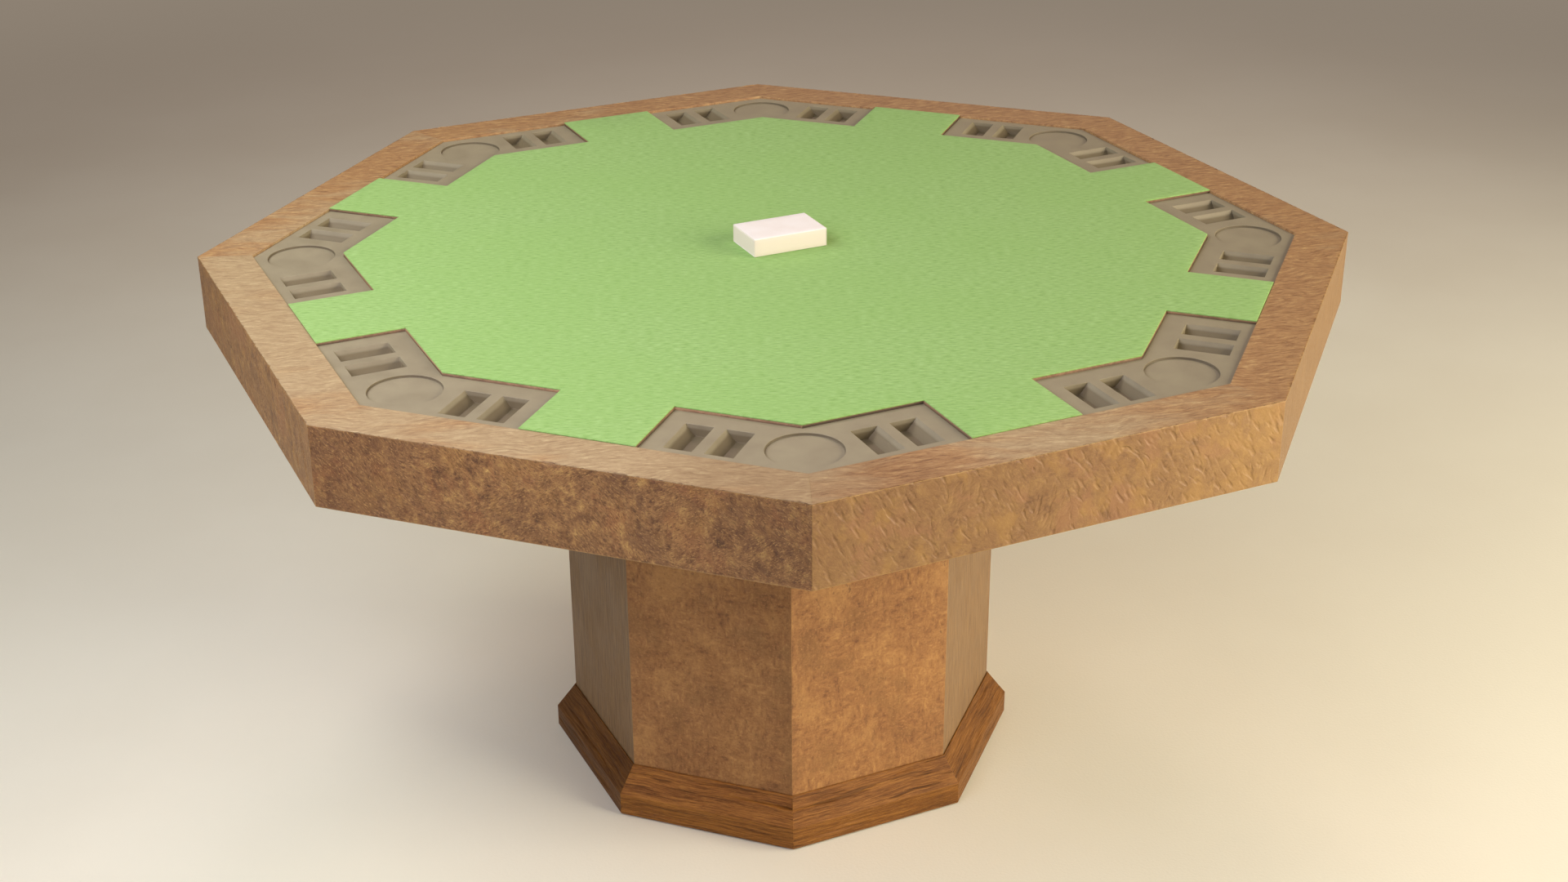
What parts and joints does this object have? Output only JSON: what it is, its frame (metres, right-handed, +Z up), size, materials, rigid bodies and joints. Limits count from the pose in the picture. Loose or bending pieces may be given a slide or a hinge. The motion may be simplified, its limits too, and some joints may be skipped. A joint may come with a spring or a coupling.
{
  "type": "octagonal card table",
  "caption": "Octagonal pedestal card table with a felt playing surface, lift-out corner trays for a cup and chips, levelling feet and a card box.",
  "frame": {"origin": "on the floor, under the centre of the table", "axes": "+Z up; the octagon's flats face +X, -X, +Y and -Y; the card box's long side lies along X"},
  "size_m": [1.3716, 1.3716, 0.7439],
  "materials": {
    "rim_wood": "satin, fine pale tan figure",
    "apron_wood": "satin, mottled burl veneer",
    "column_wood": "satin, mottled veneer",
    "plinth_wood": "satin, long red-brown grain",
    "panel_wood": "matte, unfinished board",
    "green_felt": "matte felt",
    "tray_plastic": "matte taupe",
    "zinc_steel": "zinc plated",
    "foot_plastic": "matte black",
    "white_card": "smooth off-white carton",
    "card_stock": "plain playing cards"
  },
  "bodies": {
    "table": {"rim_rail_1": "rim_wood", "rim_rail_2": "rim_wood", "rim_rail_3": "rim_wood", "rim_rail_4": "rim_wood", "rim_rail_5": "rim_wood", "rim_rail_6": "rim_wood", "rim_rail_7": "rim_wood", "rim_rail_8": "rim_wood", "apron_board_1": "apron_wood", "apron_board_2": "apron_wood", "apron_board_3": "apron_wood", "apron_board_4": "apron_wood", "apron_board_5": "apron_wood", "apron_board_6": "apron_wood", "apron_board_7": "apron_wood", "apron_board_8": "apron_wood", "playing_panel": "panel_wood", "base_panel": "panel_wood", "felt_cloth": "green_felt", "bearer_left": "panel_wood", "bearer_right": "panel_wood", "column_top_former": "panel_wood", "column_middle_former": "panel_wood", "column_bottom_former": "panel_wood", "column_panel_1": "column_wood", "column_panel_2": "column_wood", "column_panel_3": "column_wood", "column_panel_4": "column_wood", "column_panel_5": "column_wood", "column_panel_6": "column_wood", "column_panel_7": "column_wood", "column_panel_8": "column_wood", "plinth_rail_1": "plinth_wood", "plinth_rail_2": "plinth_wood", "plinth_rail_3": "plinth_wood", "plinth_rail_4": "plinth_wood", "plinth_rail_5": "plinth_wood", "plinth_rail_6": "plinth_wood", "plinth_rail_7": "plinth_wood", "plinth_rail_8": "plinth_wood", "top_bolt_1": "zinc_steel", "top_bolt_2": "zinc_steel", "top_bolt_3": "zinc_steel", "top_bolt_4": "zinc_steel"},
    "chip_tray_1": {"chip_tray_1": "tray_plastic"},
    "chip_tray_2": {"chip_tray_2": "tray_plastic"},
    "chip_tray_3": {"chip_tray_3": "tray_plastic"},
    "chip_tray_4": {"chip_tray_4": "tray_plastic"},
    "chip_tray_5": {"chip_tray_5": "tray_plastic"},
    "chip_tray_6": {"chip_tray_6": "tray_plastic"},
    "chip_tray_7": {"chip_tray_7": "tray_plastic"},
    "chip_tray_8": {"chip_tray_8": "tray_plastic"},
    "levelling_foot_1": {"levelling_foot_1": "foot_plastic"},
    "levelling_foot_2": {"levelling_foot_2": "foot_plastic"},
    "levelling_foot_3": {"levelling_foot_3": "foot_plastic"},
    "levelling_foot_4": {"levelling_foot_4": "foot_plastic"},
    "card_box": {"card_box": "white_card", "card_deck": "card_stock"},
    "card_box_flap": {"card_box_flap": "white_card"}
  },
  "joints": [
    {"name": "chip_tray_1_lift", "type": "slide", "parent": "table", "child": "chip_tray_1", "axis": [0, 0, 1], "range_m": [0, 0.06]},
    {"name": "chip_tray_2_lift", "type": "slide", "parent": "table", "child": "chip_tray_2", "axis": [0, 0, 1], "range_m": [0, 0.06]},
    {"name": "chip_tray_3_lift", "type": "slide", "parent": "table", "child": "chip_tray_3", "axis": [0, 0, 1], "range_m": [0, 0.06]},
    {"name": "chip_tray_4_lift", "type": "slide", "parent": "table", "child": "chip_tray_4", "axis": [0, 0, 1], "range_m": [0, 0.06]},
    {"name": "chip_tray_5_lift", "type": "slide", "parent": "table", "child": "chip_tray_5", "axis": [0, 0, 1], "range_m": [0, 0.06]},
    {"name": "chip_tray_6_lift", "type": "slide", "parent": "table", "child": "chip_tray_6", "axis": [0, 0, 1], "range_m": [0, 0.06]},
    {"name": "chip_tray_7_lift", "type": "slide", "parent": "table", "child": "chip_tray_7", "axis": [0, 0, 1], "range_m": [0, 0.06]},
    {"name": "chip_tray_8_lift", "type": "slide", "parent": "table", "child": "chip_tray_8", "axis": [0, 0, 1], "range_m": [0, 0.06]},
    {"name": "levelling_foot_1_screw", "type": "slide", "parent": "table", "child": "levelling_foot_1", "axis": [0, 0, 1], "range_m": [-0.012, 0.002]},
    {"name": "levelling_foot_2_screw", "type": "slide", "parent": "table", "child": "levelling_foot_2", "axis": [0, 0, 1], "range_m": [-0.012, 0.002]},
    {"name": "levelling_foot_3_screw", "type": "slide", "parent": "table", "child": "levelling_foot_3", "axis": [0, 0, 1], "range_m": [-0.012, 0.002]},
    {"name": "levelling_foot_4_screw", "type": "slide", "parent": "table", "child": "levelling_foot_4", "axis": [0, 0, 1], "range_m": [-0.012, 0.002]},
    {"name": "card_box_lift", "type": "slide", "parent": "table", "child": "card_box", "axis": [0, 0, 1], "range_m": [0, 0.1]},
    {"name": "card_box_flap_hinge", "type": "hinge", "parent": "card_box", "child": "card_box_flap", "pos_m": [0.04995, -0.003, 0.7439], "axis": [0, -1, 0], "range_deg": [0, 110]}
  ]
}
